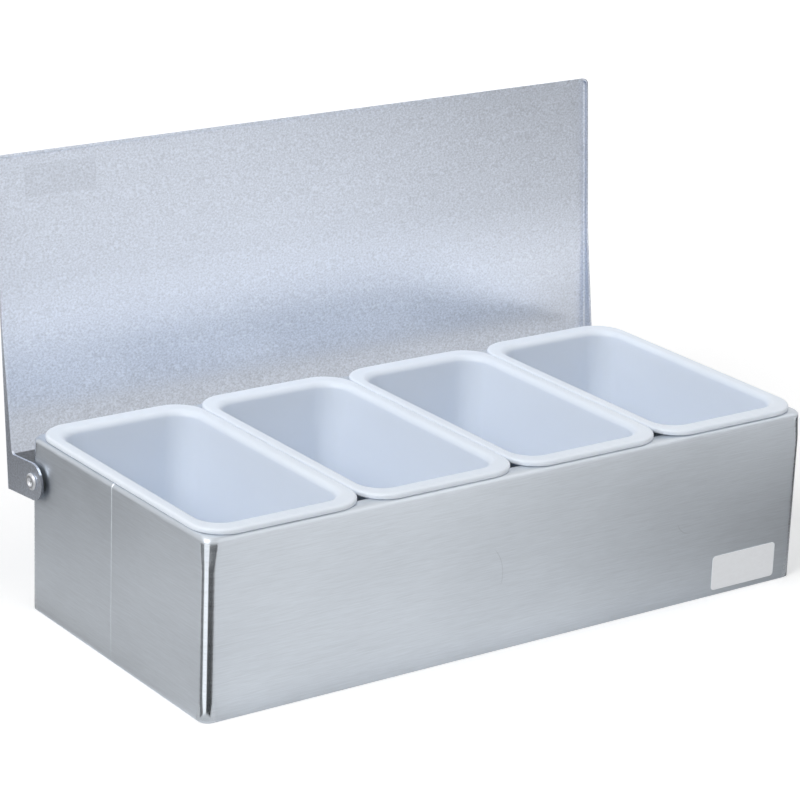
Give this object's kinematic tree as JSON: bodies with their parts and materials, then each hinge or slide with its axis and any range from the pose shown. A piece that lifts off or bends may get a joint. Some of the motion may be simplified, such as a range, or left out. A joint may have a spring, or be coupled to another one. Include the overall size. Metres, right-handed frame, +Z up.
{
  "type": "condiment caddy",
  "caption": "Steel bar caddy with lift-out white plastic inserts and a full-width hinged lid that folds back.",
  "frame": {"origin": "middle of the housing's underside, on the surface it stands on", "axes": "+X along the housing's long front to its right end, +Y from the front to the hinged back, +Z up"},
  "size_m": [0.3124, 0.1667, 0.1901],
  "materials": {
    "housing_steel": "brushed lengthways",
    "lid_steel": "fine satin grain",
    "rivet_steel": "plain bright",
    "spacer_nylon": "dark nylon",
    "insert_plastic": "satin white polypropylene",
    "label_film": "blank satin label"
  },
  "bodies": {
    "caddy": {"body_wrap": "housing_steel", "base_pan": "housing_steel", "rivet_left": "rivet_steel", "rivet_right": "rivet_steel", "spacer_washer_left": "spacer_nylon", "spacer_washer_right": "spacer_nylon", "blank_label": "label_film"},
    "lid": {"lid": "lid_steel"},
    "insert_1": {"insert_1": "insert_plastic"},
    "insert_2": {"insert_2": "insert_plastic"},
    "insert_3": {"insert_3": "insert_plastic"},
    "insert_4": {"insert_4": "insert_plastic"}
  },
  "joints": [
    {"name": "lid_hinge", "type": "hinge", "parent": "caddy", "child": "lid", "pos_m": [0, 0.0632, 0.0586], "axis": [-1, 0, 0], "range_deg": [-95, 48]},
    {"name": "insert_1_lift", "type": "slide", "parent": "caddy", "child": "insert_1", "axis": [0, 0, 1], "range_m": [0, 0.09]},
    {"name": "insert_2_lift", "type": "slide", "parent": "caddy", "child": "insert_2", "axis": [0, 0, 1], "range_m": [0, 0.09]},
    {"name": "insert_3_lift", "type": "slide", "parent": "caddy", "child": "insert_3", "axis": [0, 0, 1], "range_m": [0, 0.09]},
    {"name": "insert_4_lift", "type": "slide", "parent": "caddy", "child": "insert_4", "axis": [0, 0, 1], "range_m": [0, 0.09]}
  ]
}
